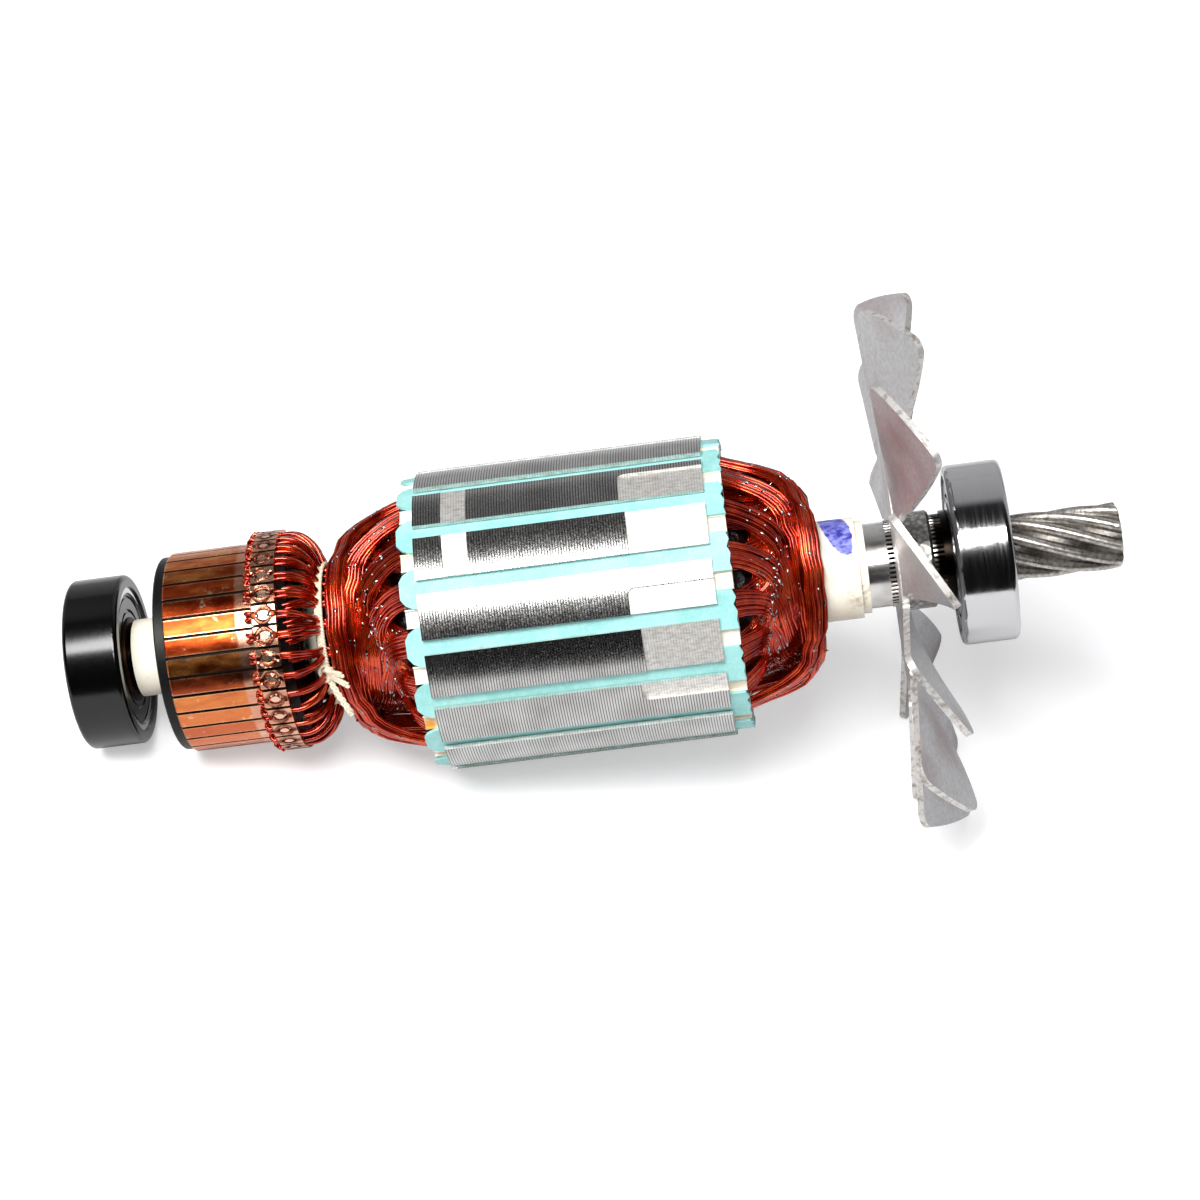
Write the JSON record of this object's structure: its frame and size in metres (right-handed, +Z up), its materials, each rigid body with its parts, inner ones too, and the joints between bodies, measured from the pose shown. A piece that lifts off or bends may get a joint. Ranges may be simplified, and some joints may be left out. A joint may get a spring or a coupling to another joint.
{
  "type": "motor armature",
  "caption": "Wound armature of a universal motor, with commutator, ball bearings, cooling fan and helical pinion shaft.",
  "frame": {"origin": "middle of the footprint of the whole armature, on the surface it lies on", "axes": "+X towards the pinion along the lie of the shaft, +Z up; the shaft slopes up to the pinion, because the fan is larger than the bearing boot"},
  "size_m": [0.204, 0.103, 0.1012],
  "materials": {
    "bearing_steel": "polished bearing steel",
    "black_rubber": "black rubber",
    "cage_steel": "pressed sheet",
    "copper": "worn copper with brown film",
    "cord": "cream lacing cord",
    "enamelled_copper": "dark red-brown enamel over copper wire",
    "fan_sheet": "stamped sheet with brown stains",
    "ground_steel": "bright ground steel, darker in the knurl",
    "insulation": "cream insulation",
    "lamination": "stacked electrical sheet, ground on the outside",
    "phenolic": "black moulding compound",
    "wedge_fibre": "turquoise vulcanised fibre"
  },
  "bodies": {
    "wound_rotor": {"shaft": "ground_steel", "insulation_tube": "insulation", "fan_side_wrap": "insulation", "lamination_stack": "lamination", "slot_liners": "insulation", "coil_sides": "enamelled_copper", "slot_wedges": "wedge_fibre", "commutator_side_insulator": "insulation", "fan_side_insulator": "insulation", "commutator_side_end_turns": "enamelled_copper", "fan_side_end_turns": "enamelled_copper", "commutator_bars": "copper", "commutator_moulding": "phenolic", "commutator_bands": "ground_steel", "commutator_bush": "copper", "lead_wires": "enamelled_copper", "binding_cord": "cord", "cooling_fan": "fan_sheet", "fan_collar": "ground_steel", "pinion_bearing_inner_ring": "bearing_steel", "tail_bearing_inner_ring": "bearing_steel"},
    "pinion_bearing_outer": {"pinion_bearing_outer_ring": "bearing_steel", "pinion_bearing_seal_left": "black_rubber", "pinion_bearing_seal_right": "black_rubber"},
    "pinion_bearing_train": {"pinion_bearing_balls": "bearing_steel", "pinion_bearing_cage": "cage_steel"},
    "tail_bearing_outer": {"tail_bearing_outer_ring": "bearing_steel", "tail_bearing_seal_left": "black_rubber", "tail_bearing_seal_right": "black_rubber", "bearing_boot": "black_rubber"},
    "tail_bearing_train": {"tail_bearing_balls": "bearing_steel", "tail_bearing_cage": "cage_steel"}
  },
  "joints": [
    {"name": "pinion_bearing_outer_turn", "type": "hinge", "parent": "wound_rotor", "child": "pinion_bearing_outer", "pos_m": [0.07456, 0, 0.05259], "axis": [0.9786, 0, 0.2057], "continuous": true},
    {"name": "pinion_bearing_train_turn", "type": "hinge", "parent": "wound_rotor", "child": "pinion_bearing_train", "pos_m": [0.07456, 0, 0.05259], "axis": [0.9786, 0, 0.2057], "continuous": true},
    {"name": "tail_bearing_outer_turn", "type": "hinge", "parent": "wound_rotor", "child": "tail_bearing_outer", "pos_m": [-0.09298, 0, 0.01737], "axis": [0.9786, 0, 0.2057], "continuous": true},
    {"name": "tail_bearing_train_turn", "type": "hinge", "parent": "wound_rotor", "child": "tail_bearing_train", "pos_m": [-0.09298, 0, 0.01737], "axis": [0.9786, 0, 0.2057], "continuous": true}
  ],
  "couplings": [
    {"joint": "pinion_bearing_train_turn", "follows": "pinion_bearing_outer_turn", "ratio": 0.619},
    {"joint": "tail_bearing_train_turn", "follows": "tail_bearing_outer_turn", "ratio": 0.619}
  ]
}
